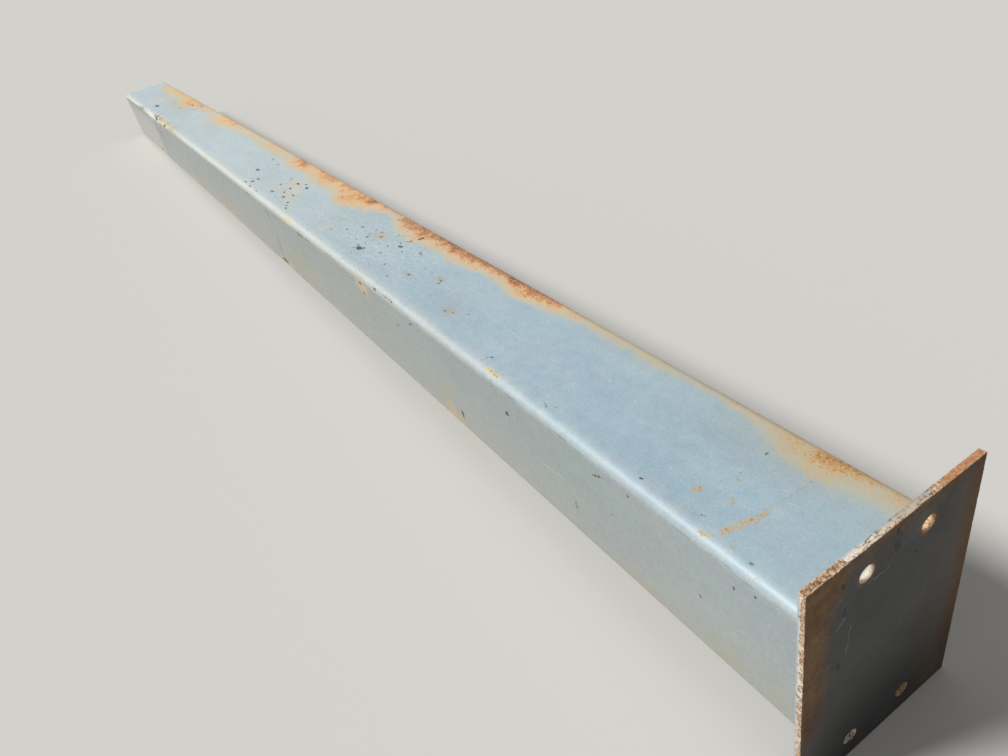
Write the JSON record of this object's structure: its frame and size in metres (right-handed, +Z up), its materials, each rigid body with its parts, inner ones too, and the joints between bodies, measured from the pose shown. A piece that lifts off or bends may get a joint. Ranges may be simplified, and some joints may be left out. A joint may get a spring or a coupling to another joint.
{
  "type": "steel post with base plate",
  "caption": "Square hollow steel post with rolled corners, open at its far end, its foot welded to a rectangular base plate with anchor bolt holes.",
  "frame": {"origin": "centre of the base plate's bolting face, on the post's axis", "axes": "+X out of the bolting face along the post's axis, so the post runs towards -X; +Z up with the post lying, along the plate's longer side; +Y across"},
  "size_m": [6.096, 0.381, 0.5334],
  "materials": {
    "tube_paint": "weathered grey-blue primer",
    "plate_paint": "weathered grey-blue primer with rust at the cut edges",
    "weld_paint": "primer over a rippled weld bead"
  },
  "bodies": {
    "root": {"post_tube": "tube_paint", "base_plate": "plate_paint", "base_weld": "weld_paint"}
  },
  "joints": []
}
